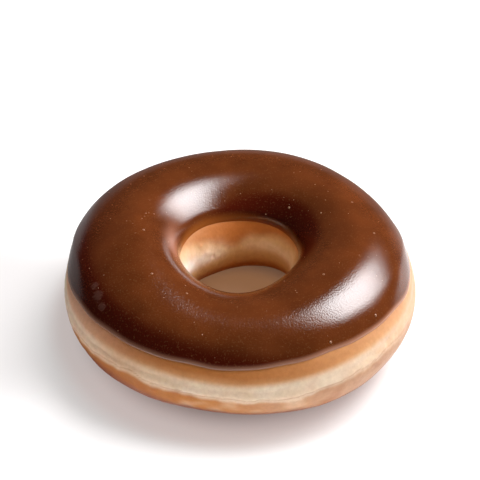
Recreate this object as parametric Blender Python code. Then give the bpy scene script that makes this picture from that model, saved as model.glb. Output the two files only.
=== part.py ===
"""Chocolate iced ring doughnut: a raised dough ring, fried on both faces, with its top dipped in icing.

Metres, +Z up. The ring lies on the table, and the origin is on the table under its middle.
Places on the ring are given by two angles. "Round" goes round the hole, from +X towards +Y.
"Turn" goes round the dough itself: 0 is the outer side, 90 the top, 180 the hole and 270 the base.
"""

import math

import bmesh
import bpy
from mathutils import Vector, noise

# Driving dimensions of the dough ring
RING_RADIUS = 0.0459
HOLE_RADIUS = 0.0130
DOUGH_HEIGHT = 0.0269

# The icing that covers its top
ICING_THICKNESS = 0.0010
ICING_GAP = 0.0003
LIP_ROUNDING = math.radians(5.5)

# Where the ring is widest outside and narrowest inside, and how flat the oil left its two faces
OUTER_BELLY_HEIGHT = 0.0140
HOLE_BELLY_HEIGHT = 0.0120
OUTER_SHARE_OF_WIDTH = 0.508
BASE_PRESS = 0.0008
FULLNESS_TOP_OUTER = 1.82
FULLNESS_TOP_HOLE = 1.83
FULLNESS_BASE_OUTER = 1.85
FULLNESS_BASE_HOLE = 2.60

# Waves (count round the ring, size, round angle of a crest) that make the ring uneven
OUTER_WAVES = (
    (2, 0.00050, math.radians(-69)),
    (3, 0.00088, math.radians(-34)),
    (4, 0.00048, math.radians(-45)),
    (5, 0.00024, math.radians(0)),
)
HOLE_WAVES = (
    (1, 0.00113, math.radians(95)),
    (2, 0.00134, math.radians(38)),
    (3, 0.00064, math.radians(52)),
)
HEIGHT_WAVES = (
    (1, 0.00104, math.radians(-121)),
    (2, 0.00110, math.radians(0)),
    (3, 0.00062, math.radians(-40)),
)
CREST_WAVES = (
    (1, 0.00113, math.radians(35)),
    (2, 0.00122, math.radians(-60)),
    (3, 0.00061, math.radians(6)),
)

# Edges of the icing, as turn angles, and the waves in them
OUTER_LIP_TURN = math.radians(32.1)
OUTER_LIP_WAVES = (
    (1, math.radians(3.6), math.radians(48)),
    (2, math.radians(9.2), math.radians(-86)),
    (3, math.radians(2.3), math.radians(-21)),
    (4, math.radians(2.9), math.radians(37)),
)
HOLE_LIP_TURN = math.radians(151.7)
HOLE_LIP_WAVES = (
    (1, math.radians(2.8), math.radians(-146)),
    (2, math.radians(6.8), math.radians(33)),
)

# Relief of the fried skin: soft lumps, and the shallow crease along the pale proof line
LUMP_DEPTH = 0.00022
LUMPS_PER_METRE = 95.0
PROOF_LINE_TURN = math.radians(9.0)
PROOF_LINE_WAVES = (
    (1, math.radians(5.0), math.radians(-30)),
    (4, math.radians(4.0), math.radians(-58)),
)
PROOF_LINE_WIDTH = math.radians(5.0)
PROOF_LINE_DEPTH = 0.00025
TABLE_CLEARANCE = 0.0015

# Mesh density
STEPS_ROUND = 84
BELLY_SPACING = math.radians(5.5)
COVERED_SPACING = math.radians(12.0)
HOLE_SPACING = math.radians(8.5)
ICING_TOP_POINTS = 14
ICING_UNDER_POINTS = 12
LIP_POINTS = 3
GUIDE_RADIUS = 4.0

CREST_RADIUS = RING_RADIUS - (RING_RADIUS - HOLE_RADIUS) * OUTER_SHARE_OF_WIDTH


def clear_scene():
    for obj in list(bpy.data.objects):
        bpy.data.objects.remove(obj)


def smooth(share):
    share = min(max(share, 0.0), 1.0)
    return share * share * (3.0 - 2.0 * share)


def mix(start, end, share):
    return start + (end - start) * share


def wave_sum(waves, round_angle):
    return sum(size * math.cos(count * (round_angle - crest)) for count, size, crest in waves)


def section(turn, crest_radius):
    """Radius and height of the dough's outline at a turn, where its crest has that radius."""
    out, up = math.cos(turn), math.sin(turn)
    outer_share = smooth((1.0 + out) / 2.0)
    if up > 0.0:
        fullness = mix(FULLNESS_TOP_HOLE, FULLNESS_TOP_OUTER, outer_share)
    else:
        fullness = mix(FULLNESS_BASE_HOLE, FULLNESS_BASE_OUTER, outer_share)
    reach = (abs(out) ** fullness + abs(up) ** fullness) ** (-1.0 / fullness)
    half_width = RING_RADIUS - crest_radius if out > 0.0 else crest_radius - HOLE_RADIUS
    belly = mix(HOLE_BELLY_HEIGHT, OUTER_BELLY_HEIGHT, outer_share)
    half_height = DOUGH_HEIGHT - belly if up > 0.0 else belly + BASE_PRESS
    radius = crest_radius + half_width * out * reach
    return radius, belly + half_height * up * reach


def uneven_section(round_angle, turn):
    """Radius and height of the outline where the ring bulges, leans and thins."""
    radius, height = section(turn, CREST_RADIUS + wave_sum(CREST_WAVES, round_angle))
    outer_share = smooth((1.0 + math.cos(turn)) / 2.0)
    radius += mix(wave_sum(HOLE_WAVES, round_angle), wave_sum(OUTER_WAVES, round_angle), outer_share)
    height *= 1.0 + wave_sum(HEIGHT_WAVES, round_angle) / DOUGH_HEIGHT
    return radius, height


def skin_relief(round_angle, turn, place):
    """How far the fried skin stands out, or in if negative, from the smooth outline."""
    lumps = LUMP_DEPTH * noise.noise(place * LUMPS_PER_METRE)
    line_turn = PROOF_LINE_TURN + wave_sum(PROOF_LINE_WAVES, round_angle)
    from_line = (math.remainder(turn, math.tau) - line_turn) / PROOF_LINE_WIDTH
    clear_of_table = smooth(place.z / TABLE_CLEARANCE)
    return clear_of_table * (lumps - PROOF_LINE_DEPTH * math.exp(-from_line * from_line))


def on_dough(round_angle, turn, lift=0.0):
    """The point of the dough's skin at two angles, or one that much above the skin."""
    radius, height = uneven_section(round_angle, turn)
    after = uneven_section(round_angle, turn + 0.01)
    before = uneven_section(round_angle, turn - 0.01)
    across = Vector((after[1] - before[1], before[0] - after[0])).normalized()
    place = Vector((radius * math.cos(round_angle), radius * math.sin(round_angle), height))
    out = lift + skin_relief(round_angle, turn, place)
    radius += across.x * out
    height = max(height + across.y * out, 0.0)
    return Vector((radius * math.cos(round_angle), radius * math.sin(round_angle), height))


def on_icing(round_angle, along, layer):
    """A point of the icing: along runs from its outer lip, 0, to its lip in the hole, 1."""
    outer_lip = OUTER_LIP_TURN + wave_sum(OUTER_LIP_WAVES, round_angle)
    hole_lip = HOLE_LIP_TURN + wave_sum(HOLE_LIP_WAVES, round_angle)
    turn = mix(outer_lip, hole_lip, along)
    from_lip = min(turn - outer_lip, hole_lip - turn) / LIP_ROUNDING
    rounding = math.sqrt(max(0.0, 1.0 - max(0.0, 1.0 - from_lip) ** 2))
    return on_dough(round_angle, turn, ICING_GAP + layer * ICING_THICKNESS * rounding)


def spun_guide(section):
    """A plain ring spun from a closed section of (turn, tube radius) pairs, to be moved into shape."""
    ring = bmesh.new()
    corners = [
        ring.verts.new((GUIDE_RADIUS + tube * math.cos(turn), 0.0, tube * math.sin(turn)))
        for turn, tube in section
    ]
    edges = [ring.edges.new((corners[i - 1], corners[i])) for i in range(len(corners))]
    bmesh.ops.spin(
        ring,
        geom=corners + edges,
        cent=(0.0, 0.0, 0.0),
        axis=(0.0, 0.0, 1.0),
        angle=math.tau,
        steps=STEPS_ROUND,
        use_merge=True,
    )
    return ring


def guide_angles(point):
    """Round angle, turn and tube radius of a point of the guide."""
    outward = math.hypot(point.x, point.y) - GUIDE_RADIUS
    return math.atan2(point.y, point.x), math.atan2(point.z, outward), math.hypot(outward, point.z)


def finished(name, ring, material):
    bmesh.ops.recalc_face_normals(ring, faces=ring.faces[:])
    mesh = bpy.data.meshes.new(name)
    ring.to_mesh(mesh)
    ring.free()
    mesh.shade_smooth()
    mesh.materials.append(material)
    obj = bpy.data.objects.new(name, mesh)
    bpy.context.scene.collection.objects.link(obj)
    return obj


def plain_material(name, colour, roughness):
    material = bpy.data.materials.new(name)
    material.use_nodes = True
    shader = material.node_tree.nodes["Principled BSDF"]
    shader.inputs["Base Color"].default_value = (*colour, 1.0)
    shader.inputs["Roughness"].default_value = roughness
    shader.inputs["Metallic"].default_value = 0.0
    return material


def spaced(start, end, spacing):
    """Angles from start up to, but without, end, evenly and about that far apart."""
    count = math.ceil((end - start) / spacing)
    return [mix(start, end, i / count) for i in range(count)]


def dough_ring():
    """One turned tube: closely spaced where its skin shows, widely where the icing covers it."""
    turns = (
        spaced(math.radians(-90), math.radians(42), BELLY_SPACING)
        + spaced(math.radians(42), math.radians(146), COVERED_SPACING)
        + spaced(math.radians(146), math.radians(270), HOLE_SPACING)
    )
    ring = spun_guide([(turn, 1.0) for turn in turns])
    for vert in ring.verts:
        round_angle, turn, _ = guide_angles(vert.co)
        vert.co = on_dough(round_angle, turn)
    return finished("dough_ring", ring, plain_material("fried_dough", (0.62, 0.34, 0.14), 0.55))


def chocolate_icing():
    """A dipped shell with a rounded lip at both edges. Guide tube radius 1 is its underside, 2 its top."""
    span = HOLE_LIP_TURN - OUTER_LIP_TURN
    lip = [LIP_ROUNDING / span * i / LIP_POINTS for i in range(1, LIP_POINTS + 1)]
    middle = [mix(lip[-1], 1.0 - lip[-1], i / ICING_TOP_POINTS) for i in range(1, ICING_TOP_POINTS)]
    top = lip + middle + [1.0 - along for along in reversed(lip)]
    under = [i / ICING_UNDER_POINTS for i in range(ICING_UNDER_POINTS + 1)]
    ring = spun_guide(
        [(math.pi * along, 2.0) for along in top] + [(math.pi * along, 1.0) for along in reversed(under)]
    )
    for vert in ring.verts:
        round_angle, turn, tube = guide_angles(vert.co)
        vert.co = on_icing(round_angle, abs(turn) / math.pi, tube - 1.0)
    return finished("chocolate_icing", ring, plain_material("milk_chocolate", (0.13, 0.045, 0.018), 0.25))


def settle(objects):
    """Brings the middle of the whole ring's box over the origin."""
    corners = [vert.co for obj in objects for vert in obj.data.vertices]
    middle = Vector([(min(c[i] for c in corners) + max(c[i] for c in corners)) / 2.0 for i in range(2)])
    for obj in objects:
        for vert in obj.data.vertices:
            vert.co.xy -= middle


clear_scene()
settle([dough_ring(), chocolate_icing()])
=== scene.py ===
"""Chocolate iced ring doughnut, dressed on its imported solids.

Metres, +Z up, origin on the table under the ring's middle. Places on the ring are given by two angles.
"Round" goes round the hole from +X towards +Y. "Turn" goes round the dough itself: 0 is the outer side,
90 degrees the top, 180 the hole and 270 the base.
"""
import functools
import math
import random

import bmesh
import bpy
from mathutils import Matrix, Vector, noise


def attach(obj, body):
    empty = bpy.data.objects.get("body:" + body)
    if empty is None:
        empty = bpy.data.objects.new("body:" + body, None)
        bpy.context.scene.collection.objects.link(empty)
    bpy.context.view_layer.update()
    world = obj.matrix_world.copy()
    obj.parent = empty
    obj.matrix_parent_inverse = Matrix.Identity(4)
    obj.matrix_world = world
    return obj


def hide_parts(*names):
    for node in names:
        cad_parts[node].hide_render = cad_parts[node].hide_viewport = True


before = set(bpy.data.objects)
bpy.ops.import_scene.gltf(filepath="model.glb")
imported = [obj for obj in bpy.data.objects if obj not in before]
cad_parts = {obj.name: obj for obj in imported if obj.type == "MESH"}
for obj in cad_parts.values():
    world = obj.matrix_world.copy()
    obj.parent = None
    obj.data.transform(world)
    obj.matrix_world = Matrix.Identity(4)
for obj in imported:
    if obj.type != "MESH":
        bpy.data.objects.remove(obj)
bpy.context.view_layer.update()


# Camera
# A long lens looks down on the ring from the front at about 40 degrees. The doughnut lies a little
# below the middle of the picture.
CAMERA_LENS = 150.2
CAMERA_PLACE = (-0.000139, -0.390045, 0.356661)
CAMERA_TILT = math.radians(49.685)
CAMERA_PAN = math.radians(-0.0140)

camera_data = bpy.data.cameras.new("long_lens")
camera_data.lens = CAMERA_LENS
camera_data.sensor_width = 36.0
camera = bpy.data.objects.new("long_lens", camera_data)
camera.location = CAMERA_PLACE
camera.rotation_euler = (CAMERA_TILT, 0.0, CAMERA_PAN)
bpy.context.scene.collection.objects.link(camera)
bpy.context.scene.camera = camera
bpy.context.scene.view_settings.view_transform = "Standard"


# Fried dough ring
# A ring of yeast dough that swelled in hot oil and was fried on both faces. The side that floated above
# the oil stays pale, as a band round the outside and in the hole, and a thin sugar glaze covers the skin.
RING_MIDDLE = Vector((0.000139, 0.000703, 0.0))
RING_RADIUS = 0.0459
HOLE_RADIUS = 0.0130
DOUGH_HEIGHT = 0.0269
OUTER_BELLY_HEIGHT = 0.0140
HOLE_BELLY_HEIGHT = 0.0120
OUTER_SHARE_OF_WIDTH = 0.508
BASE_PRESS = 0.0008
FULLNESS_TOP_OUTER = 1.82
FULLNESS_TOP_HOLE = 1.83
FULLNESS_BASE_OUTER = 1.85
FULLNESS_BASE_HOLE = 2.60
CREST_RADIUS = RING_RADIUS - (RING_RADIUS - HOLE_RADIUS) * OUTER_SHARE_OF_WIDTH

# Waves in the ring: count round it, size, round angle of a crest
OUTER_WAVES = (
    (2, 0.00050, math.radians(-69)),
    (3, 0.00088, math.radians(-34)),
    (4, 0.00048, math.radians(-45)),
    (5, 0.00024, math.radians(0)),
)
HOLE_WAVES = (
    (1, 0.00113, math.radians(95)),
    (2, 0.00134, math.radians(38)),
    (3, 0.00064, math.radians(52)),
)
HEIGHT_WAVES = (
    (1, 0.00104, math.radians(-121)),
    (2, 0.00110, math.radians(0)),
    (3, 0.00062, math.radians(-40)),
)
CREST_WAVES = (
    (1, 0.00113, math.radians(35)),
    (2, 0.00122, math.radians(-60)),
    (3, 0.00061, math.radians(6)),
)

# Edges of the icing, as turn angles, and the waves in them. The skin beside them is smooth
OUTER_LIP_TURN = math.radians(32.1)
OUTER_LIP_WAVES = (
    (1, math.radians(3.6), math.radians(48)),
    (2, math.radians(9.2), math.radians(-86)),
    (3, math.radians(2.3), math.radians(-21)),
    (4, math.radians(2.9), math.radians(37)),
    (9, math.radians(0.5), math.radians(11)),
    (14, math.radians(0.4), math.radians(-5)),
    (23, math.radians(0.3), math.radians(3)),
)
HOLE_LIP_TURN = math.radians(151.7)
HOLE_LIP_WAVES = (
    (1, math.radians(2.8), math.radians(-146)),
    (2, math.radians(6.8), math.radians(33)),
    (5, math.radians(0.6), math.radians(20)),
)
SMOOTH_BESIDE_LIPS = math.radians(6.0)

# Relief of the skin: soft lumps, the crease of the pale line, small ripples, wrinkles along the pale bands
LUMP_DEPTH = 0.00022
LUMPS_PER_METRE = 95.0
PROOF_LINE_TURN = math.radians(11.0)
PROOF_LINE_WAVES = (
    (1, math.radians(1.5), math.radians(-30)),
    (4, math.radians(3.0), math.radians(-35)),
)
PROOF_LINE_WIDTH = math.radians(5.0)
PROOF_LINE_DEPTH = 0.00025
TABLE_CLEARANCE = 0.0015
RIPPLE_DEPTH = 0.00006
RIPPLES_PER_METRE = 330.0
FOLD_DEPTH = 0.00003
FOLDED_BAND_TURN = math.radians(-2.0)
FOLDED_BAND_WIDTH = math.radians(14.0)
HOLE_WALL_TURN = math.radians(150.0)
HOLE_WALL_BLEND = 0.25
HOLE_FOLD_SHARE = 0.25
PALE_EDGE_TURN = math.radians(-8.5)
PALE_EDGE_SWING = math.radians(3.6)
PALE_EDGE_WIDTH = math.radians(1.3)
PALE_EDGE_DEPTH = 0.00006
BLISTER_COUNT = 60
BLISTER_SEED = 11
BLISTER_REACH = 0.16
# Radius of the dough itself, along which a blister's size is measured
TUBE_RADIUS = 0.015
# Blisters, or pits if negative, that the front shows: round angle, turn, radius, height
FRONT_BLISTERS = (
    (math.radians(-118), math.radians(-5), 0.0011, 0.00034),
    (math.radians(-110), math.radians(2), 0.0012, 0.00028),
    (math.radians(-124), math.radians(-12), 0.0013, 0.00022),
    (math.radians(-38), math.radians(14), 0.0009, -0.00030),
    (math.radians(-40), math.radians(9), 0.0007, 0.00020),
    (math.radians(-29), math.radians(10), 0.0016, 0.00016),
    (math.radians(138), math.radians(160), 0.0006, 0.00020),
    (math.radians(124), math.radians(178), 0.0005, -0.00030),
    (math.radians(133), math.radians(170), 0.0009, 0.00014),
)

DOUGH_STEPS_ROUND = 480
SIDE_SPACING = math.radians(1.25)
COVERED_SPACING = math.radians(6.0)
HOLE_SPACING = math.radians(1.8)

# Radius of the plain ring that is spun first and then moved into shape
GUIDE_RADIUS = 4.0


def smooth(share):
    share = min(max(share, 0.0), 1.0)
    return share * share * (3.0 - 2.0 * share)


def mix(start, end, share):
    return start + (end - start) * share


def bell(value, middle, width):
    """1 at the middle, falling off softly over the width on both sides."""
    away = (value - middle) / width
    return math.exp(-away * away)


@functools.lru_cache(maxsize=None)
def wave_sum(waves, round_angle):
    return sum(size * math.cos(count * (round_angle - crest)) for count, size, crest in waves)


@functools.lru_cache(maxsize=None)
def icing_lips(round_angle):
    """Turn angles of the icing's outer lip and of its lip in the hole."""
    outer_lip = OUTER_LIP_TURN + wave_sum(OUTER_LIP_WAVES, round_angle)
    hole_lip = HOLE_LIP_TURN + wave_sum(HOLE_LIP_WAVES, round_angle)
    return outer_lip, hole_lip


def clear_of_icing(round_angle, turn):
    """0 under the icing and at its lips, 1 on the open skin a little way from them."""
    outer_lip, hole_lip = icing_lips(round_angle)
    wall = turn % math.tau if turn < -math.pi / 2 or turn > math.pi / 2 else turn
    away = max(outer_lip - wall, wall - hole_lip) / SMOOTH_BESIDE_LIPS
    return smooth(away)


def section(turn, crest_radius):
    """Radius and height of the dough's outline at a turn, where its crest has that radius."""
    out, up = math.cos(turn), math.sin(turn)
    outer_share = smooth((1.0 + out) / 2.0)
    if up > 0.0:
        fullness = mix(FULLNESS_TOP_HOLE, FULLNESS_TOP_OUTER, outer_share)
    else:
        fullness = mix(FULLNESS_BASE_HOLE, FULLNESS_BASE_OUTER, outer_share)
    reach = (abs(out) ** fullness + abs(up) ** fullness) ** (-1.0 / fullness)
    half_width = RING_RADIUS - crest_radius if out > 0.0 else crest_radius - HOLE_RADIUS
    belly = mix(HOLE_BELLY_HEIGHT, OUTER_BELLY_HEIGHT, outer_share)
    half_height = DOUGH_HEIGHT - belly if up > 0.0 else belly + BASE_PRESS
    radius = crest_radius + half_width * out * reach
    return radius, belly + half_height * up * reach


def uneven_section(round_angle, turn):
    """Radius and height of the outline where the ring bulges, leans and thins."""
    radius, height = section(turn, CREST_RADIUS + wave_sum(CREST_WAVES, round_angle))
    outer_share = smooth((1.0 + math.cos(turn)) / 2.0)
    radius += mix(wave_sum(HOLE_WAVES, round_angle), wave_sum(OUTER_WAVES, round_angle), outer_share)
    height *= 1.0 + wave_sum(HEIGHT_WAVES, round_angle) / DOUGH_HEIGHT
    return radius, height


def from_proof_line(round_angle, turn):
    """Turn measured from the middle of the pale line round the outer side."""
    return math.remainder(turn, math.tau) - PROOF_LINE_TURN - wave_sum(PROOF_LINE_WAVES, round_angle)


def folds(round_angle, turn):
    """1 in the middle of the thin folds that run along the ring, 0 on the plain skin between them."""
    run = Vector((4.0 * math.cos(round_angle), 4.0 * math.sin(round_angle), 5.0 * turn))
    return bell(noise.noise(run), 0.0, 0.08)


@functools.lru_cache(maxsize=None)
def pale_edge(round_angle):
    """Turn, from the proof line, of the wavy lower edge of the pale band."""
    run = Vector((math.cos(round_angle), math.sin(round_angle), 0.0))
    wave = noise.noise(run * 3.5) + 0.9 * noise.noise(run * 11.0) + 0.35 * noise.noise(run * 30.0)
    return PALE_EDGE_TURN + PALE_EDGE_SWING * wave


def all_blisters():
    """The blisters that the front shows, and smaller ones and pits scattered over the open skin."""
    dice = random.Random(BLISTER_SEED)
    scattered = [
        (
            dice.uniform(-math.pi, math.pi),
            math.radians(dice.choice((dice.uniform(-75, 25), dice.uniform(165, 250)))),
            dice.uniform(0.0006, 0.0014),
            dice.choice((-0.00016, 0.00009, 0.00012)),
        )
        for _ in range(BLISTER_COUNT)
    ]
    return FRONT_BLISTERS + tuple(scattered)


BLISTERS = all_blisters()


@functools.lru_cache(maxsize=None)
def blisters_near(round_angle):
    return [
        spot for spot in BLISTERS
        if abs(math.remainder(round_angle - spot[0], math.tau)) < BLISTER_REACH
    ]


def blister_relief(round_angle, turn, radius):
    """How far the blisters lift the skin at a place."""
    rise = 0.0
    for spot_round, spot_turn, size, height in blisters_near(round_angle):
        along = radius * math.remainder(round_angle - spot_round, math.tau) / size
        across = TUBE_RADIUS * math.remainder(turn - spot_turn, math.tau) / size
        if abs(across) < 3.0:
            rise += height * math.exp(-along * along - across * across)
    return rise


def skin_relief(round_angle, turn, place):
    """How far the fried skin stands out, or in if negative, from the smooth outline."""
    lumps = LUMP_DEPTH * noise.noise(place * LUMPS_PER_METRE)
    ripples = RIPPLE_DEPTH * noise.fractal(place * RIPPLES_PER_METRE, 0.8, 2.1, 3)
    line = from_proof_line(round_angle, turn)
    crease = PROOF_LINE_DEPTH * bell(line, 0.0, PROOF_LINE_WIDTH)
    in_hole = smooth((abs(math.remainder(turn, math.tau)) - HOLE_WALL_TURN) / HOLE_WALL_BLEND)
    folded = bell(line, FOLDED_BAND_TURN, FOLDED_BAND_WIDTH) + HOLE_FOLD_SHARE * in_hole
    fold = FOLD_DEPTH * folded * folds(round_angle, turn)
    fold += PALE_EDGE_DEPTH * bell(line, pale_edge(round_angle), PALE_EDGE_WIDTH)
    blisters = blister_relief(round_angle, turn, math.hypot(place.x, place.y))
    on_open_skin = clear_of_icing(round_angle, turn) * (ripples + blisters - fold)
    clear_of_table = smooth(place.z / TABLE_CLEARANCE)
    return clear_of_table * (lumps - crease + on_open_skin)


def raised(round_angle, turn, rise):
    """The point of the ring's outline at two angles, moved outwards by what rise gives for its place."""
    radius, height = uneven_section(round_angle, turn)
    after = uneven_section(round_angle, turn + 0.01)
    before = uneven_section(round_angle, turn - 0.01)
    across = Vector((after[1] - before[1], before[0] - after[0])).normalized()
    out = rise(Vector((radius * math.cos(round_angle), radius * math.sin(round_angle), height)))
    radius += across.x * out
    height = max(height + across.y * out, 0.0)
    return Vector((radius * math.cos(round_angle), radius * math.sin(round_angle), height)) - RING_MIDDLE


def spaced(start, end, spacing):
    """Angles from start up to, but without, end, evenly and about that far apart."""
    count = math.ceil((end - start) / spacing)
    return [mix(start, end, i / count) for i in range(count)]


def spun_guide(outline, steps):
    """A plain ring spun from a closed section of (turn, tube radius) pairs, to be moved into shape."""
    ring = bmesh.new()
    corners = [
        ring.verts.new((GUIDE_RADIUS + tube * math.cos(turn), 0.0, tube * math.sin(turn)))
        for turn, tube in outline
    ]
    edges = [ring.edges.new((corners[i - 1], corners[i])) for i in range(len(corners))]
    bmesh.ops.spin(
        ring,
        geom=corners + edges,
        cent=(0.0, 0.0, 0.0),
        axis=(0.0, 0.0, 1.0),
        angle=math.tau,
        steps=steps,
        use_merge=True,
    )
    return ring


def guide_angles(point):
    """Round angle, turn and tube radius of a point of the guide."""
    outward = math.hypot(point.x, point.y) - GUIDE_RADIUS
    round_angle = round(math.atan2(point.y, point.x), 6)
    return round_angle, math.atan2(point.z, outward), math.hypot(outward, point.z)


def linear(red, green, blue):
    """A colour given as picture values from 0 to 255, in the linear values that a shader takes."""
    return Vector([
        value / 255.0 / 12.92 if value <= 10 else ((value / 255.0 + 0.055) / 1.055) ** 2.4
        for value in (red, green, blue)
    ])


CREAM = linear(250, 228, 200)
GOLDEN = linear(222, 164, 108)
BROWN_BESIDE_ICING = linear(186, 115, 57)
LEFT_PINK = linear(240, 184, 152)
LOWER_GOLD = linear(196, 122, 42)
LOWER_PEACH = linear(208, 156, 116)
TOASTED = linear(178, 102, 34)
BROWNED = linear(140, 62, 22)
RIGHT_PAINTED_SHADE_TAN = linear(202, 154, 120)
HOLE_CREAM_PAINTED_LIGHT = linear(255, 246, 238)
HOLE_PALE_GOLD = linear(234, 200, 156)
HOLE_GOLD_PAINTED_LIGHT = linear(226, 190, 150)
HOLE_BROWN_UNDER_ICING = linear(168, 95, 37)
HOLE_TAN = linear(208, 158, 98)
HOLE_BROWN = linear(176, 104, 34)


def near_round(round_angle, middle, width):
    """1 at a place round the ring, falling off softly to both sides of it."""
    return bell(math.remainder(round_angle - math.radians(middle), math.tau), 0.0, math.radians(width))


def skin_above_band(round_angle, line, blotch):
    """Golden skin up to the icing: darker brown beside it, plainer at the front right, pink on the left."""
    darker_from = math.radians(7 + 2 * blotch - 3 * near_round(round_angle, -128, 26))
    colour = GOLDEN.lerp(BROWN_BESIDE_ICING, smooth((line - darker_from) / math.radians(11)))
    colour = colour.lerp(GOLDEN, 0.5 * near_round(round_angle, -40, 36))
    return colour.lerp(LEFT_PINK, 0.7 * near_round(round_angle, -155, 24))


def skin_below_band(round_angle, line, blotch):
    """Gold on the left to peach on the right, with toasted and light blotches, browned towards the table."""
    to_peach = smooth((round_angle - math.radians(-104)) / math.radians(34))
    toast = near_round(round_angle, -128, 22) * (0.75 + 1.1 * blotch) + 1.3 * max(blotch - 0.08, 0.0)
    brown_from = mix(math.radians(32), math.radians(12), near_round(round_angle, -142, 24))
    browned = smooth((-line - brown_from - math.radians(9) * blotch) / 0.28)
    colour = LOWER_GOLD.lerp(LOWER_PEACH, to_peach)
    colour = colour.lerp(TOASTED, min(max(toast, 0.0), 1.0))
    colour = colour.lerp(GOLDEN, min(1.1 * max(-blotch - 0.06, 0.0), 0.5))
    colour = colour.lerp(CREAM, min(0.9 * max(-blotch - 0.2, 0.0), 0.5))
    return colour.lerp(BROWNED, 0.9 * browned)


def paleness(round_angle, turn, line, blotch):
    """Share of cream in the pale band, which is wider in front and fainter at the right and the left."""
    wide = math.radians(5) * near_round(round_angle, -66, 24)
    in_band = smooth((math.radians(9.5) + wide - line) / math.radians(9))
    fainter = 0.55 * near_round(round_angle, -10, 38) + 0.4 * near_round(round_angle, -138, 32)
    share = in_band * (1.0 - 0.06 * folds(round_angle, turn)) * (1.0 - fainter + 0.3 * blotch)
    return min(max(share, 0.0), 1.0)


def side_colour(round_angle, turn, point):
    """Outer side: golden under the icing, a pale band with a thin toasted lower edge, darker skin below."""
    blotch = noise.noise(point * 80.0) + 0.5 * noise.noise(point * 260.0)
    line = from_proof_line(round_angle, turn)
    from_edge = line - pale_edge(round_angle)
    under_edge = smooth((math.radians(1 + 4 * blotch) - from_edge) / math.radians(7))
    colour = skin_above_band(round_angle, line, blotch)
    colour = colour.lerp(CREAM, paleness(round_angle, turn, line, blotch))
    colour = colour.lerp(skin_below_band(round_angle, line, blotch), under_edge)
    colour = colour.lerp(TOASTED, 0.42 * bell(from_edge, 0.0, math.radians(0.7)))
    # Painted shade: the right side, where the key light falls strongest, is painted a darker tan
    return colour.lerp(RIGHT_PAINTED_SHADE_TAN, 0.66 * near_round(round_angle, -2, 42))


def hole_colour(round_angle, turn, point):
    """Wall of the hole: darker under the icing, gold, a broken cream line at its waist, brown below."""
    blotch = noise.noise(point * 110.0) + 0.4 * noise.noise(point * 320.0)
    wall = math.remainder(turn, math.tau)
    down = wall - math.pi if wall > 0.0 else wall + math.pi
    down += math.radians(4) * blotch
    # Painted light: on the side the key light reaches, paler gold, whiter cream and less darkening under the
    # icing
    painted_light_side = near_round(round_angle, 168, 50)
    darker_from = math.radians(12 - 12 * near_round(round_angle, 100, 26) + 6 * painted_light_side)
    darker_under_icing = (1.0 - 0.3 * painted_light_side) * smooth((-down - darker_from) / math.radians(14))
    colour = HOLE_TAN.lerp(HOLE_GOLD_PAINTED_LIGHT, painted_light_side)
    colour = colour.lerp(HOLE_BROWN_UNDER_ICING, darker_under_icing)
    colour = colour.lerp(HOLE_TAN, smooth((down + math.radians(6)) / math.radians(12)))
    colour = colour.lerp(HOLE_BROWN, smooth((down - math.radians(14)) / math.radians(16)))
    whole = 1.0 - 0.85 * near_round(round_angle, 97, 18)
    cream = whole * bell(down, math.radians(-4), math.radians(9)) * (0.95 + 0.25 * painted_light_side + 0.7 * blotch)
    return colour.lerp(HOLE_PALE_GOLD.lerp(HOLE_CREAM_PAINTED_LIGHT, painted_light_side), min(max(cream, 0.0), 1.0))


def dough_colour(round_angle, turn, point):
    if math.cos(turn) > 0.0:
        return side_colour(round_angle, turn, point)
    return hole_colour(round_angle, turn, point)


def finished_mesh(name, ring, material):
    bmesh.ops.recalc_face_normals(ring, faces=ring.faces[:])
    mesh = bpy.data.meshes.new(name)
    ring.to_mesh(mesh)
    ring.free()
    mesh.shade_smooth()
    mesh.materials.append(material)
    obj = bpy.data.objects.new(name, mesh)
    bpy.context.scene.collection.objects.link(obj)
    return obj


def shader_of(material):
    material.use_nodes = True
    return material.node_tree.nodes["Principled BSDF"]


def node(material, kind, **values):
    made = material.node_tree.nodes.new(kind)
    for name, value in values.items():
        if hasattr(made, name):
            setattr(made, name, value)
        else:
            made.inputs[name.replace("_", " ").title()].default_value = value
    return made


def join(material, start, start_name, end, end_name):
    material.node_tree.links.new(start.outputs[start_name], end.inputs[end_name])


# Sockets of a mix of two colours: the colour it starts from, the one it goes to, and what comes out
MIX_FROM = 6
MIX_TO = 7
MIXED = 2


def colour_mix(material, blend="MIX"):
    return node(material, "ShaderNodeMix", data_type="RGBA", blend_type=blend)


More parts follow.
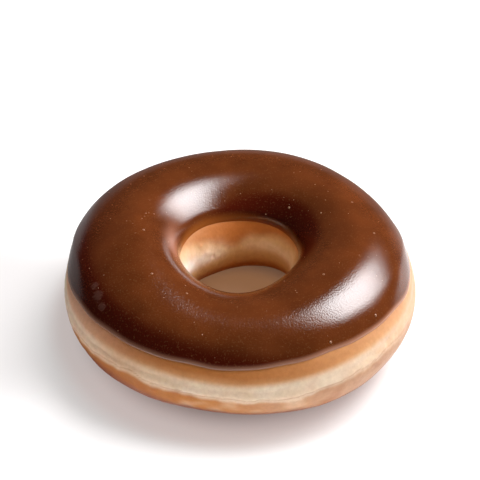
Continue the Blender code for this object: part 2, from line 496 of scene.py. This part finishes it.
def fried_skin_material():
    """Painted skin colours broken up by fine mottling, under a thin uneven sugar glaze."""
    material = bpy.data.materials.new("fried_skin")
    shader = shader_of(material)
    place = node(material, "ShaderNodeTexCoord")
    paint = node(material, "ShaderNodeAttribute", attribute_name="skin")
    mottle = node(material, "ShaderNodeTexNoise", scale=900.0, detail=4.0, roughness=0.6)
    tint = node(material, "ShaderNodeValToRGB")
    tint.color_ramp.elements[0].position = 0.3
    tint.color_ramp.elements[0].color = (0.88, 0.85, 0.82, 1.0)
    tint.color_ramp.elements[1].position = 0.7
    tint.color_ramp.elements[1].color = (1.0, 1.0, 1.0, 1.0)
    mottled = colour_mix(material, "MULTIPLY")
    mottled.inputs["Factor"].default_value = 1.0
    join(material, place, "Object", mottle, "Vector")
    join(material, mottle, "Fac", tint, "Fac")
    join(material, paint, "Color", mottled, MIX_FROM)
    join(material, tint, "Color", mottled, MIX_TO)
    join(material, mottled, MIXED, shader, "Base Color")

    glaze = node(material, "ShaderNodeTexNoise", scale=260.0, detail=3.0)
    gloss = node(material, "ShaderNodeMapRange")
    gloss.inputs["To Min"].default_value = 0.36
    gloss.inputs["To Max"].default_value = 0.62
    join(material, place, "Object", glaze, "Vector")
    join(material, glaze, "Fac", gloss, "Value")
    join(material, gloss, "Result", shader, "Roughness")

    grain = node(material, "ShaderNodeTexNoise", scale=1500.0, detail=3.0)
    bump = node(material, "ShaderNodeBump", strength=0.35, distance=0.00012)
    join(material, place, "Object", grain, "Vector")
    join(material, grain, "Fac", bump, "Height")
    join(material, bump, "Normal", shader, "Normal")
    shader.inputs["IOR"].default_value = 1.42
    shader.inputs["Coat Weight"].default_value = 0.12
    shader.inputs["Coat Roughness"].default_value = 0.28
    shader.inputs["Subsurface Weight"].default_value = 0.2
    shader.inputs["Subsurface Radius"].default_value = (0.0030, 0.0014, 0.0006)
    shader.inputs["Subsurface Scale"].default_value = 1.0
    return material


def fried_dough_ring():
    """A turned tube: closely spaced where its skin shows, widely where the icing covers it."""
    turns = (
        spaced(math.radians(-90), math.radians(48), SIDE_SPACING)
        + spaced(math.radians(48), math.radians(146), COVERED_SPACING)
        + spaced(math.radians(146), math.radians(270), HOLE_SPACING)
    )
    ring = spun_guide([(turn, 1.0) for turn in turns], DOUGH_STEPS_ROUND)
    paint = []
    for vert in ring.verts:
        round_angle, turn, _ = guide_angles(vert.co)
        vert.co = raised(round_angle, turn, functools.partial(skin_relief, round_angle, turn))
        paint.append((*dough_colour(round_angle, turn, vert.co), 1.0))
    obj = finished_mesh("fried_dough", ring, fried_skin_material())
    skin = obj.data.color_attributes.new("skin", "FLOAT_COLOR", "POINT")
    skin.data.foreach_set("color", [value for colour in paint for value in colour])
    return obj


dough = fried_dough_ring()
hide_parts("dough_ring")
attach(dough, "root")


# Chocolate icing
# Melted milk chocolate icing, dipped from above and set with a gloss. It follows the dough, ends in a small
# round lip outside and a thin feathered one in the hole, and is fuller behind and beside the hole's left.
ICING_THICKNESS = 0.0010
ICING_GAP = 0.0003
# Its underside is bedded this far into the dough, so that no gap shows at its lips
ICING_BED = 0.0002
BACK_FULLNESS = 0.00014
FULLEST_TURN = math.radians(48.0)
FULL_WIDTH = math.radians(28.0)
FLOW_DEPTH = 0.00003
FLOWS_PER_METRE = 62.0
DIMPLE_DEPTH = 0.000005
DIMPLES_PER_METRE = 420.0

# Lips: size of their rounding, share of the thickness that it takes, and slope up to the full thickness
LIP_ROUNDING = math.radians(2.6)
LIP_SHARE = 0.38
LIP_SLOPE = math.radians(26.0)
BACK_LIP_SLOPE = math.radians(10.0)
HOLE_LIP_ROUNDING = math.radians(1.3)
HOLE_LIP_SHARE = 0.07
HOLE_LIP_SLOPE = math.radians(12.0)
LEFT_HOLE_LIP_SLOPE = math.radians(20.0)
LIP_FOLLOWS = math.radians(10.0)

# Bead that gathered inside the lip at the hole's left: height, place round the ring, place from the lip
LEFT_BEAD = 0.00028
BEAD_MIDDLE = 190
BEAD_LENGTH = 24
BEAD_FROM_LIP = math.radians(12.0)
BEAD_WIDTH = math.radians(9.0)

# Browns of the body, of its painted shade and of its thin and dull places, with painted sheen among the thin
# ones, and how far the thin ones reach from the lips
MILK_BROWN = (0.075, 0.0174, 0.0039)
LIGHT_MILK_BROWN = (0.112, 0.0272, 0.0065)
GRAIN_BROWN = (0.21, 0.096, 0.036)
PAINTED_SHADE_BROWN = (0.058, 0.0057, 0.0014)
THIN_BROWN = (0.31, 0.092, 0.017)
# Pink of the thin outer lip, partly a painted sheen along its edge
THIN_PINK_AND_SHEEN = (0.36, 0.17, 0.105)
PAINTED_SHEEN_BROWN = (0.50, 0.23, 0.155)
BLOOM = (0.14, 0.062, 0.045)
THIN_AT_HOLE = math.radians(11.0)
THIN_AT_SIDE = math.radians(6.0)
# Direction of the key light; slopes turned away from it are painted darker, as painted shade
KEY_LIGHT_TOWARDS = Vector((0.442, 0.431, 0.787))
# Dull sugar marks on the left: round angle, turn and radius, in degrees
BLOOM_MARKS = ((-149.5, 47.0, 4.6), (-145.0, 44.5, 3.2), (-154.0, 49.5, 2.8))

ICING_STEPS_ROUND = 540
ICING_TOP_POINTS = 88
ICING_UNDER_POINTS = 12
LIP_POINTS = 8


def rounded(share):
    """A quarter of a circle: 0 at an edge, 1 from there on."""
    return math.sqrt(max(0.0, 1.0 - max(0.0, 1.0 - share) ** 2))


def behind(round_angle):
    """0 along the front, 1 along the back, where the icing is fuller."""
    return smooth((math.sin(round_angle) + 0.25) / 0.5)


def icing_share(round_angle, turn):
    """Share of the full thickness: a small round lip outside, a thin feathered one in the hole."""
    outer_lip, hole_lip = icing_lips(round_angle)
    outer_edge = rounded((turn - outer_lip) / LIP_ROUNDING)
    slope = mix(LIP_SLOPE, BACK_LIP_SLOPE, behind(round_angle))
    outer = mix(outer_edge, smooth((turn - outer_lip) / slope), 1.0 - LIP_SHARE)
    hole_edge = rounded((hole_lip - turn) / HOLE_LIP_ROUNDING)
    shoulder = mix(HOLE_LIP_SLOPE, LEFT_HOLE_LIP_SLOPE, near_round(round_angle, 185, 55))
    hole_slope = 1.0 - (1.0 - min(max((hole_lip - turn) / shoulder, 0.0), 1.0)) ** 2
    return min(outer, mix(hole_edge, hole_slope, 1.0 - HOLE_LIP_SHARE))


def lumps_under(round_angle, turn, place):
    """The dough's lumps, which show through the icing near its lips and level out under its middle."""
    outer_lip, hole_lip = icing_lips(round_angle)
    from_lip = min(turn - outer_lip, hole_lip - turn)
    return LUMP_DEPTH * noise.noise(place * LUMPS_PER_METRE) * (1.0 - smooth(from_lip / LIP_FOLLOWS))


def icing_top(round_angle, turn, place):
    """Height of the icing's top above the dough's outline."""
    share = icing_share(round_angle, turn)
    flow = FLOW_DEPTH * noise.noise(place * FLOWS_PER_METRE)
    dimples = DIMPLE_DEPTH * noise.noise(place * DIMPLES_PER_METRE)
    fuller = BACK_FULLNESS * behind(round_angle) * bell(turn, FULLEST_TURN, FULL_WIDTH)
    from_hole_lip = icing_lips(round_angle)[1] - turn
    bead = bell(from_hole_lip, BEAD_FROM_LIP, BEAD_WIDTH) * near_round(round_angle, BEAD_MIDDLE, BEAD_LENGTH)
    height = mix(-ICING_BED, ICING_GAP + ICING_THICKNESS, share) + (flow + dimples + fuller) * share
    return lumps_under(round_angle, turn, place) + height + LEFT_BEAD * bead


def icing_bed(round_angle, turn, place):
    return lumps_under(round_angle, turn, place) - ICING_BED


def milk_icing_material():
    """Set chocolate with a gloss that tiny bubbles and sugar grains break up."""
    material = bpy.data.materials.new("milk_icing")
    shader = shader_of(material)
    place = node(material, "ShaderNodeTexCoord")
    cloud = node(material, "ShaderNodeTexNoise", scale=120.0, detail=4.0, roughness=0.55)
    tint = node(material, "ShaderNodeValToRGB")
    tint.color_ramp.elements[0].position = 0.3
    tint.color_ramp.elements[0].color = (*MILK_BROWN, 1.0)
    tint.color_ramp.elements[1].position = 0.7
    tint.color_ramp.elements[1].color = (*LIGHT_MILK_BROWN, 1.0)
    grains = node(material, "ShaderNodeTexNoise", scale=2300.0, detail=1.0)
    light_grains = node(material, "ShaderNodeMapRange")
    light_grains.inputs["From Min"].default_value = 0.58
    light_grains.inputs["From Max"].default_value = 0.80
    light_grains.inputs["To Max"].default_value = 0.34
    speckled = colour_mix(material)
    speckled.inputs[MIX_TO].default_value = (*GRAIN_BROWN, 1.0)
    # Painted shade: a deeper brown on slopes turned away from the key light and on the left
    painted_shade = node(material, "ShaderNodeAttribute", attribute_name="painted_shade")
    body = colour_mix(material)
    body.inputs[MIX_TO].default_value = (*PAINTED_SHADE_BROWN, 1.0)
    # Thin edges and dull bloom, with painted sheen beside the hole's left edge and along the outer lip
    thin = node(material, "ShaderNodeAttribute", attribute_name="thin")
    edge = colour_mix(material)
    join(material, place, "Object", cloud, "Vector")
    join(material, cloud, "Fac", tint, "Fac")
    join(material, place, "Object", grains, "Vector")
    join(material, grains, "Fac", light_grains, "Value")
    join(material, light_grains, "Result", speckled, "Factor")
    join(material, painted_shade, "Fac", body, "Factor")
    join(material, tint, "Color", body, MIX_FROM)
    join(material, body, MIXED, speckled, MIX_FROM)
    join(material, thin, "Alpha", edge, "Factor")
    join(material, speckled, MIXED, edge, MIX_FROM)
    join(material, thin, "Color", edge, MIX_TO)
    join(material, edge, MIXED, shader, "Base Color")

    haze = node(material, "ShaderNodeTexNoise", scale=420.0, detail=5.0, roughness=0.65)
    gloss = node(material, "ShaderNodeMapRange")
    gloss.inputs["To Min"].default_value = 0.055
    gloss.inputs["To Max"].default_value = 0.115
    dulled = node(material, "ShaderNodeMath", operation="MULTIPLY_ADD")
    dulled.inputs[1].default_value = 0.10
    join(material, place, "Object", haze, "Vector")
    join(material, haze, "Fac", gloss, "Value")
    join(material, thin, "Alpha", dulled, 0)
    join(material, gloss, "Result", dulled, 2)
    join(material, dulled, "Value", shader, "Roughness")

    grain = node(material, "ShaderNodeTexNoise", scale=2500.0, detail=2.0, roughness=0.5)
    bump = node(material, "ShaderNodeBump", strength=0.9, distance=0.000048)
    join(material, place, "Object", grain, "Vector")
    join(material, grain, "Fac", bump, "Height")
    join(material, bump, "Normal", shader, "Normal")
    shader.inputs["IOR"].default_value = 1.52
    return material


def bloom(round_angle, turn):
    """Amount of dull sugar bloom at a place."""
    ragged = 0.5 * noise.noise(Vector((60.0 * round_angle, 40.0 * turn, 0.0)))
    amount = 0.0
    for mark_round, mark_turn, size in BLOOM_MARKS:
        along = 2.2 * math.remainder(round_angle - math.radians(mark_round), math.tau)
        away = math.hypot(along, turn - math.radians(mark_turn)) / math.radians(size)
        amount = max(amount, 0.5 * smooth(2.0 * (1.15 - away + ragged)))
    return amount


def painted_sheen_patch(round_angle, from_hole_lip):
    """Amount of a painted sheen: a lighter patch on the icing beside the hole's left edge."""
    return 0.45 * near_round(round_angle, 178, 22) * bell(from_hole_lip, math.radians(21), math.radians(8))


def painted_shade_amount(round_angle, turn):
    """1 where the icing is painted darker as shade: on slopes turned from the key light, and more on the
    left.
    """
    level = math.cos(turn)
    slope = Vector((level * math.cos(round_angle), level * math.sin(round_angle), math.sin(turn)))
    at_left = near_round(round_angle, 175, 45) * smooth((math.radians(85) - turn) / math.radians(35))
    inner = smooth((turn - math.radians(80)) / math.radians(30))
    turned_away = smooth((mix(0.44, 0.51, inner) - slope.dot(KEY_LIGHT_TOWARDS)) / mix(0.28, 0.21, inner))
    return min(turned_away + 0.35 * at_left, 1.0)


def poured_icing():
    """A dipped shell with rounded lips. Guide tube radius 1 is its underside, 2 its top."""
    span = HOLE_LIP_TURN - OUTER_LIP_TURN
    lip = [
        LIP_ROUNDING / span * (1.0 - math.cos(0.5 * math.pi * i / LIP_POINTS))
        for i in range(1, LIP_POINTS + 1)
    ]
    middle = [mix(lip[-1], 1.0 - lip[-1], i / ICING_TOP_POINTS) for i in range(1, ICING_TOP_POINTS)]
    top = lip + middle + [1.0 - along for along in reversed(lip)]
    under = [i / ICING_UNDER_POINTS for i in range(ICING_UNDER_POINTS + 1)]
    ring = spun_guide(
        [(math.pi * along, 2.0) for along in top] + [(math.pi * along, 1.0) for along in reversed(under)],
        ICING_STEPS_ROUND,
    )
    thin = []
    painted_shade = []
    for vert in ring.verts:
        round_angle, along, tube = guide_angles(vert.co)
        outer_lip, hole_lip = icing_lips(round_angle)
        turn = mix(outer_lip, hole_lip, abs(along) / math.pi)
        surface = icing_top if tube > 1.5 else icing_bed
        vert.co = raised(round_angle, turn, functools.partial(surface, round_angle, turn))
        # The patch beside the hole's left edge is painted sheen; the pink at the outer lip is partly painted
        # sheen
        amount, colour = max(
            (1.0 - smooth((hole_lip - turn) / THIN_AT_HOLE), THIN_BROWN),
            (1.0 - smooth((turn - outer_lip) / THIN_AT_SIDE), THIN_PINK_AND_SHEEN),
            (painted_sheen_patch(round_angle, hole_lip - turn), PAINTED_SHEEN_BROWN),
            (bloom(round_angle, turn), BLOOM),
        )
        thin.extend((*colour, amount))
        painted_shade.append(painted_shade_amount(round_angle, turn))
    obj = finished_mesh("poured_icing", ring, milk_icing_material())
    obj.data.color_attributes.new("thin", "FLOAT_COLOR", "POINT").data.foreach_set("color", thin)
    obj.data.attributes.new("painted_shade", "FLOAT", "POINT").data.foreach_set("value", painted_shade)
    return obj


icing = poured_icing()
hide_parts("chocolate_icing")
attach(icing, "root")


# Specks in the icing
# Grains of sugar from the icing and small bubbles that burst as it set. They are held in the chocolate and
# stand a little out of its gloss, most of them under half a millimetre wide.
SPECK_SEED = 5
SPECK_COUNT = 110
# The larger ones that the front shows: round angle and turn
LARGE_SPECKS = (
    (26, 79),
    (52, 128),
    (-38, 99),
    (-58, 47),
    (-142, 90),
    (180, 101),
    (28, 112),
    (2, 73),
    (-38, 45),
    (-120, 96),
)
SPECK_SUNK = 0.6


def speck_places():
    """Round angle, turn and radius of each speck."""
    dice = random.Random(SPECK_SEED)
    places = [
        (math.radians(round_angle), math.radians(turn), dice.uniform(0.00034, 0.00044))
        for round_angle, turn in LARGE_SPECKS
    ]
    for _ in range(SPECK_COUNT):
        round_angle = dice.uniform(-math.pi, math.pi)
        outer_lip, hole_lip = icing_lips(round_angle)
        turn = dice.uniform(outer_lip + math.radians(6), hole_lip - math.radians(8))
        places.append((round_angle, turn, dice.uniform(0.00010, 0.00020)))
    return places


def icing_specks():
    form = bmesh.new()
    for round_angle, turn, radius in speck_places():
        middle = raised(
            round_angle,
            turn,
            lambda place: icing_top(round_angle, turn, place) - SPECK_SUNK * radius,
        )
        bmesh.ops.create_icosphere(form, subdivisions=2, radius=radius, matrix=Matrix.Translation(middle))
    material = bpy.data.materials.new("set_sugar")
    shader = shader_of(material)
    place = node(material, "ShaderNodeTexCoord")
    shade = node(material, "ShaderNodeTexNoise", scale=600.0, detail=2.0)
    tint = node(material, "ShaderNodeValToRGB")
    tint.color_ramp.elements[0].position = 0.35
    tint.color_ramp.elements[0].color = (0.20, 0.075, 0.026, 1.0)
    tint.color_ramp.elements[1].position = 0.65
    tint.color_ramp.elements[1].color = (0.36, 0.17, 0.080, 1.0)
    join(material, place, "Object", shade, "Vector")
    join(material, shade, "Fac", tint, "Fac")
    join(material, tint, "Color", shader, "Base Color")
    shader.inputs["Roughness"].default_value = 0.35
    return finished_mesh("icing_specks", form, material)


specks = icing_specks()
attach(specks, "root")


# Table
# A wide flat sheet of matt white board that the doughnut lies on. A painted shadow darkens it on the left.
# Behind the doughnut and on its left the board stays dark in the icing's gloss.
TABLE_SIZE = 8.0
TABLE_LEVEL = -0.0001
RINGS_REACH = 0.1

table_form = bmesh.new()
bmesh.ops.create_grid(table_form, x_segments=1, y_segments=1, size=TABLE_SIZE / 2.0)
bmesh.ops.translate(table_form, verts=table_form.verts[:], vec=(0.0, 0.0, TABLE_LEVEL))
white_board = bpy.data.materials.new("white_board")
board_shader = shader_of(white_board)
board_shader.inputs["Roughness"].default_value = 0.9
board_shader.inputs["Emission Strength"].default_value = 1.0
board_place = node(white_board, "ShaderNodeTexCoord")
from_middle = node(white_board, "ShaderNodeVectorMath", operation="LENGTH")
outwards = node(white_board, "ShaderNodeVectorMath", operation="NORMALIZE")
join(white_board, board_place, "Object", from_middle, 0)
join(white_board, board_place, "Object", outwards, 0)


def rings(stops):
    """Colours of the board by distance from the doughnut's middle, each full at that many metres."""
    share = node(white_board, "ShaderNodeMapRange")
    share.inputs["From Max"].default_value = RINGS_REACH
    ramp = node(white_board, "ShaderNodeValToRGB")
    ramp.color_ramp.interpolation = "EASE"
    while len(ramp.color_ramp.elements) < len(stops):
        ramp.color_ramp.elements.new(0.5)
    for element, (distance, colour) in zip(ramp.color_ramp.elements, stops):
        element.position = distance / RINGS_REACH
        element.color = (*colour, 1.0)
    join(white_board, from_middle, "Value", share, "Value")
    join(white_board, share, "Result", ramp, "Fac")
    return ramp


def sector(middle, gone, full, most):
    """Part of the board round an angle: none where the cosine from its middle is gone, most from full on."""
    towards = node(white_board, "ShaderNodeVectorMath", operation="DOT_PRODUCT")
    towards.inputs[1].default_value = (math.cos(math.radians(middle)), math.sin(math.radians(middle)), 0.0)
    part = node(white_board, "ShaderNodeMapRange", interpolation_type="SMOOTHSTEP")
    part.inputs["From Min"].default_value = gone
    part.inputs["From Max"].default_value = full
    part.inputs["To Max"].default_value = most
    join(white_board, outwards, "Vector", towards, 0)
    join(white_board, towards, "Value", part, "Value")
    return part


# White, with painted shade under the doughnut and a painted shadow on the left
board_white_with_painted_shade = rings(((0.014, (0.05, 0.03, 0.02)), (0.024, (0.56, 0.55, 0.545))))
painted_left_shadow = colour_mix(white_board, "MULTIPLY")
painted_left_shadow.inputs[MIX_TO].default_value = (0.48, 0.46, 0.455, 1.0)
join(white_board, sector(180, 0.78, 0.97, 1.0), "Result", painted_left_shadow, "Factor")
join(white_board, board_white_with_painted_shade, "Color", painted_left_shadow, MIX_FROM)
join(white_board, painted_left_shadow, MIXED, board_shader, "Base Color")

# Painted light the board gives off: warm painted bounce in the hole, dim painted shadow beside the doughnut,
# bright beyond
painted_board_glow = rings((
    (0.014, (0.25, 0.12, 0.057)),
    (0.024, (0.03, 0.029, 0.028)),
    (0.030, (0.035, 0.028, 0.026)),
    (0.046, (0.50, 0.455, 0.445)),
    (0.053, (0.57, 0.56, 0.555)),
))
join(white_board, painted_board_glow, "Color", board_shader, "Emission Color")

# Dark in the gloss, behind and on the left
dark_part = node(white_board, "ShaderNodeMath", operation="MAXIMUM")
join(white_board, sector(90, 0.50, 0.88, 1.0), "Result", dark_part, 0)
join(white_board, sector(164, 0.30, 0.75, 0.80), "Result", dark_part, 1)
ray = node(white_board, "ShaderNodeLightPath")
in_gloss = node(white_board, "ShaderNodeMath", operation="MULTIPLY")
join(white_board, dark_part, "Value", in_gloss, 0)
join(white_board, ray, "Is Glossy Ray", in_gloss, 1)
dark_board = node(white_board, "ShaderNodeBsdfDiffuse")
dark_board.inputs["Color"].default_value = (0.11, 0.10, 0.095, 1.0)
board = node(white_board, "ShaderNodeMixShader")
join(white_board, in_gloss, "Value", board, 0)
join(white_board, board_shader, "BSDF", board, 1)
join(white_board, dark_board, "BSDF", board, 2)
join(white_board, board, "Shader", white_board.node_tree.nodes["Material Output"], "Surface")
table = finished_mesh("table", table_form, white_board)


# Studio lights
# A large soft box behind and to the right of the ring, brightest a little above and left of its middle, and
# a dim low panel behind on the right. Three fills without gloss lift the icing, the dough and the hole.
KEY_AZIMUTH = 44.3
KEY_ELEVATION = 51.9
KEY_DISTANCE = 2.0


def direction(azimuth, elevation):
    level = math.cos(math.radians(elevation))
    return Vector((
        math.cos(math.radians(azimuth)) * level,
        math.sin(math.radians(azimuth)) * level,
        math.sin(math.radians(elevation)),
    ))


def soft_panel(name, towards, distance, size, radiance, colour, shift=(0.0, 0.0)):
    """A panel facing the doughnut, moved in its own plane by a shift to its left and up."""
    light_data = bpy.data.lights.new(name, "AREA")
    light_data.shape = "RECTANGLE"
    light_data.size, light_data.size_y = size
    light_data.energy = math.pi * size[0] * size[1] * radiance
    light_data.color = colour
    panel = bpy.data.objects.new(name, light_data)
    turned = towards.to_track_quat("Z", "Y")
    panel.location = towards * distance + turned @ Vector((*shift, 0.0))
    panel.rotation_euler = turned.to_euler()
    bpy.context.scene.collection.objects.link(panel)
    return panel


def fade(panel, across, up):
    """Fades a panel to its edges. Each direction gives where light starts, is full, still full and gone."""
    panel.data.use_nodes = True
    tree = panel.data.node_tree
    place = tree.nodes.new("ShaderNodeNewGeometry")
    split = tree.nodes.new("ShaderNodeSeparateXYZ")
    tree.links.new(place.outputs["Parametric"], split.inputs[0])
    share = None
    for axis, (start, full, still_full, gone) in (("X", across), ("Y", up)):
        for nothing, all_light in ((start, full), (gone, still_full)):
            ramp = tree.nodes.new("ShaderNodeMapRange")
            ramp.interpolation_type = "SMOOTHSTEP"
            ramp.inputs["From Min"].default_value = nothing
            ramp.inputs["From Max"].default_value = all_light
            tree.links.new(split.outputs[axis], ramp.inputs["Value"])
            if share is None:
                share = ramp.outputs["Result"]
            else:
                both = tree.nodes.new("ShaderNodeMath")
                both.operation = "MULTIPLY"
                tree.links.new(share, both.inputs[0])
                tree.links.new(ramp.outputs["Result"], both.inputs[1])
                share = both.outputs["Value"]
    tree.links.new(share, tree.nodes["Emission"].inputs["Strength"])


key_box = soft_panel(
    "key_soft_box",
    direction(KEY_AZIMUTH, KEY_ELEVATION),
    KEY_DISTANCE,
    size=(2.34, 2.30),
    radiance=19.8,
    colour=(0.975, 0.975, 0.995),
    shift=(-0.42, -0.13),
)
fade(key_box, across=(0.05, 0.66, 0.76, 0.95), up=(0.06, 0.56, 0.73, 0.98))
soft_panel("low_back_panel", direction(42, 5), 1.6, (0.9, 0.30), 0.15, (1.0, 0.95, 0.93))
icing_fill = soft_panel("icing_fill", direction(-5, 16), 1.5, (0.9, 0.6), 7.5, (1.0, 0.98, 0.96))
dough_fill = soft_panel("dough_fill", direction(-105, 8), 1.5, (1.4, 0.5), 2.8, (1.0, 0.97, 0.94))
hole_fill = soft_panel("hole_fill", direction(0, 87), 0.06, (0.03, 0.03), 4.4, (1.0, 0.96, 0.92))
for fill, piece in ((icing_fill, icing), (dough_fill, dough), (hole_fill, dough)):
    fill.visible_glossy = False
    lit = bpy.data.collections.new(fill.name)
    lit.objects.link(piece)
    fill.light_linking.receiver_collection = lit

room = bpy.data.worlds.new("room")
room.use_nodes = True
room.node_tree.nodes["Background"].inputs["Color"].default_value = (0.95, 0.97, 1.0, 1.0)
room.node_tree.nodes["Background"].inputs["Strength"].default_value = 0.02
bpy.context.scene.world = room
